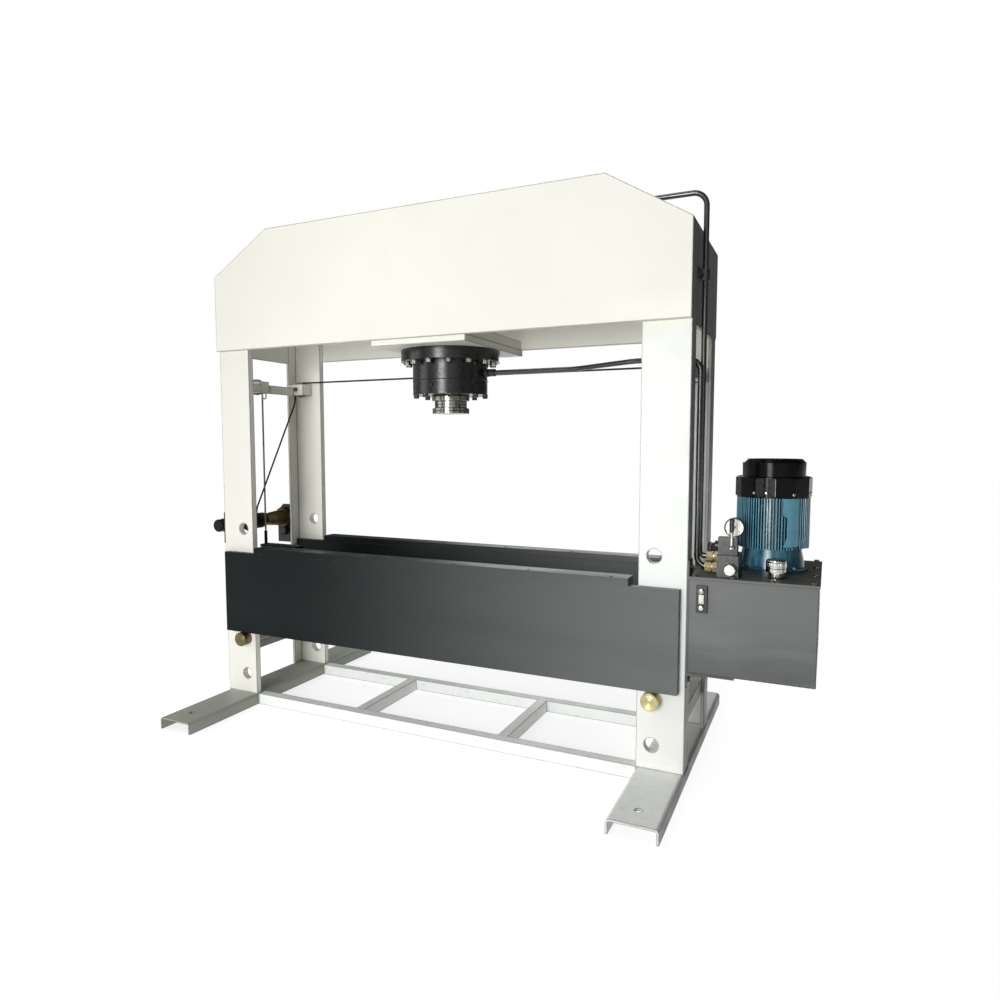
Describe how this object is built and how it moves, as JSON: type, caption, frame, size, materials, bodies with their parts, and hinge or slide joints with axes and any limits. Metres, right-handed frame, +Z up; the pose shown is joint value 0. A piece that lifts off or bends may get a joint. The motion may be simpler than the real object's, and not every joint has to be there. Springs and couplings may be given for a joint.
{
  "type": "hydraulic press",
  "caption": "Wide gantry hydraulic workshop press with a fixed cylinder, a height-adjustable bed on pins, a hand hoist and an electric power pack.",
  "frame": {"origin": "on the floor, under the ram's axis, half-way through the frame's depth", "axes": "+X along the frame towards the power pack, +Y to the back, +Z up"},
  "size_m": [2.5069, 1.22, 2.015],
  "materials": {
    "frame_paint": "satin",
    "base_paint": "satin",
    "bed_paint": "satin",
    "cylinder_paint": "gloss",
    "black_bolts": "satin",
    "rod_chrome": "polished",
    "nose_steel": "satin",
    "pipe_steel": "gloss",
    "fitting_zinc": "satin",
    "clamp_steel": "satin",
    "pin_zinc": "satin",
    "pulley_steel": "satin",
    "rope_steel": "satin",
    "hoist_black": "satin",
    "drum_zinc": "satin",
    "tank_paint": "satin",
    "zinc_bolts": "satin",
    "gauge_body": "gloss",
    "cap_chrome": "polished",
    "filter_black": "gloss",
    "motor_blue": "gloss",
    "cowl_black": "gloss",
    "bare_steel": "satin",
    "pump_cast": "satin",
    "block_steel": "satin",
    "valve_black": "satin",
    "lever_black": "gloss",
    "gauge_case": "polished",
    "needle_black": "satin"
  },
  "bodies": {
    "frame": {"front_left_upright": "frame_paint", "front_right_upright": "frame_paint", "rear_left_upright": "frame_paint", "rear_right_upright": "frame_paint", "beam_front_plate": "frame_paint", "beam_rear_plate": "frame_paint", "beam_end_plates": "frame_paint", "cylinder_lower_plate": "frame_paint", "cylinder_upper_plate": "frame_paint", "left_pulley_beam": "frame_paint", "right_pulley_beam": "frame_paint", "left_foot": "base_paint", "right_foot": "base_paint", "base_angles": "base_paint", "cylinder_barrel": "cylinder_paint", "cylinder_gland": "cylinder_paint", "flange_bolts": "black_bolts", "gland_bolts": "black_bolts", "lower_pipe": "pipe_steel", "upper_pipe": "pipe_steel", "pipe_fittings": "fitting_zinc", "pipe_clamp": "clamp_steel", "pulley_axles": "pulley_steel", "left_rope": "rope_steel", "cross_rope": "rope_steel", "left_rope_fall": "rope_steel", "right_rope_fall": "rope_steel", "hoist_brackets": "hoist_black", "oil_tank": "tank_paint", "tank_lid": "tank_paint", "tank_brackets": "tank_paint", "pack_bolts": "zinc_bolts", "level_gauge": "gauge_body", "return_filter": "filter_black", "motor_body": "motor_blue", "fan_cover": "cowl_black", "gear_pump": "pump_cast", "valve_block": "block_steel", "lever_valve": "valve_black", "pressure_gauge": "gauge_case"},
    "bed": {"bed_front_plate": "bed_paint", "bed_rear_plate": "bed_paint", "bed_spacers": "bed_paint", "guide_bars": "bed_paint", "guide_bar_screws": "black_bolts"},
    "ram": {"ram": "rod_chrome", "ram_nose": "nose_steel"},
    "left_pin": {"left_bed_pin": "pin_zinc"},
    "right_pin": {"right_bed_pin": "pin_zinc"},
    "drum": {"hoist_drum": "drum_zinc"},
    "crank": {"hoist_pinion": "hoist_black", "hoist_crank": "hoist_black"},
    "front_left_wheel": {"front_left_pulley": "pulley_steel"},
    "rear_left_wheel": {"rear_left_pulley": "pulley_steel"},
    "right_wheel": {"right_pulley": "pulley_steel"},
    "lever": {"valve_lever": "lever_black"},
    "knob": {"relief_knob": "lever_black"},
    "needle": {"gauge_needle": "needle_black"},
    "cap": {"filler_cap": "cap_chrome"},
    "rotor": {"motor_shaft": "bare_steel"}
  },
  "joints": [
    {"name": "bed_lift", "type": "slide", "parent": "frame", "child": "bed", "axis": [0, 0, 1], "range_m": [0, 0.32], "deforming": ["left_rope_fall", "right_rope_fall"]},
    {"name": "ram_stroke", "type": "slide", "parent": "frame", "child": "ram", "axis": [0, 0, -1], "range_m": [0, 0.245]},
    {"name": "left_pin_slide", "type": "slide", "parent": "frame", "child": "left_pin", "axis": [0, -1, 0], "range_m": [0, 0.52]},
    {"name": "right_pin_slide", "type": "slide", "parent": "frame", "child": "right_pin", "axis": [0, -1, 0], "range_m": [0, 0.52]},
    {"name": "drum_turn", "type": "hinge", "parent": "frame", "child": "drum", "pos_m": [-1.0643, 0, 0.775], "axis": [0, 1, 0], "range_deg": [-10, 580]},
    {"name": "crank_turn", "type": "hinge", "parent": "frame", "child": "crank", "pos_m": [-1.0643, 0, 0.709], "axis": [0, 1, 0], "range_deg": [-1320, 10]},
    {"name": "front_left_wheel_turn", "type": "hinge", "parent": "frame", "child": "front_left_wheel", "pos_m": [-1.001, -0.03, 1.4], "axis": [0, 1, 0], "range_deg": [-605, 10]},
    {"name": "rear_left_wheel_turn", "type": "hinge", "parent": "frame", "child": "rear_left_wheel", "pos_m": [-0.929, 0.18, 1.4], "axis": [0, 1, 0], "range_deg": [-605, 10]},
    {"name": "right_wheel_turn", "type": "hinge", "parent": "frame", "child": "right_wheel", "pos_m": [0.929, 0.18, 1.4], "axis": [0, 1, 0], "range_deg": [-605, 10]},
    {"name": "lever_swing", "type": "hinge", "parent": "frame", "child": "lever", "pos_m": [1.13, -0.22, 0.81], "axis": [0, 1, 0], "range_deg": [-18, 18], "stiffness_Nm_per_rad": 2},
    {"name": "knob_turn", "type": "hinge", "parent": "frame", "child": "knob", "pos_m": [1.13, -0.226, 0.743], "axis": [0, 1, 0], "range_deg": [-720, 0]},
    {"name": "needle_sweep", "type": "hinge", "parent": "frame", "child": "needle", "pos_m": [1.132, -0.152, 0.87], "axis": [0, 1, 0], "range_deg": [0, 270], "stiffness_Nm_per_rad": 0.005},
    {"name": "cap_turn", "type": "hinge", "parent": "frame", "child": "cap", "pos_m": [1.262, -0.165, 0.715], "axis": [0, 0, 1], "range_deg": [0, 60]},
    {"name": "rotor_spin", "type": "hinge", "parent": "frame", "child": "rotor", "pos_m": [1.235, 0.02, 0.715], "axis": [0, 0, 1], "continuous": true}
  ],
  "couplings": [
    {"joint": "drum_turn", "follows": "bed_lift", "rad_per_m": 30.96},
    {"joint": "crank_turn", "follows": "bed_lift", "rad_per_m": -71.207},
    {"joint": "front_left_wheel_turn", "follows": "bed_lift", "rad_per_m": -32.258},
    {"joint": "rear_left_wheel_turn", "follows": "bed_lift", "rad_per_m": -32.258},
    {"joint": "right_wheel_turn", "follows": "bed_lift", "rad_per_m": -32.258}
  ]
}
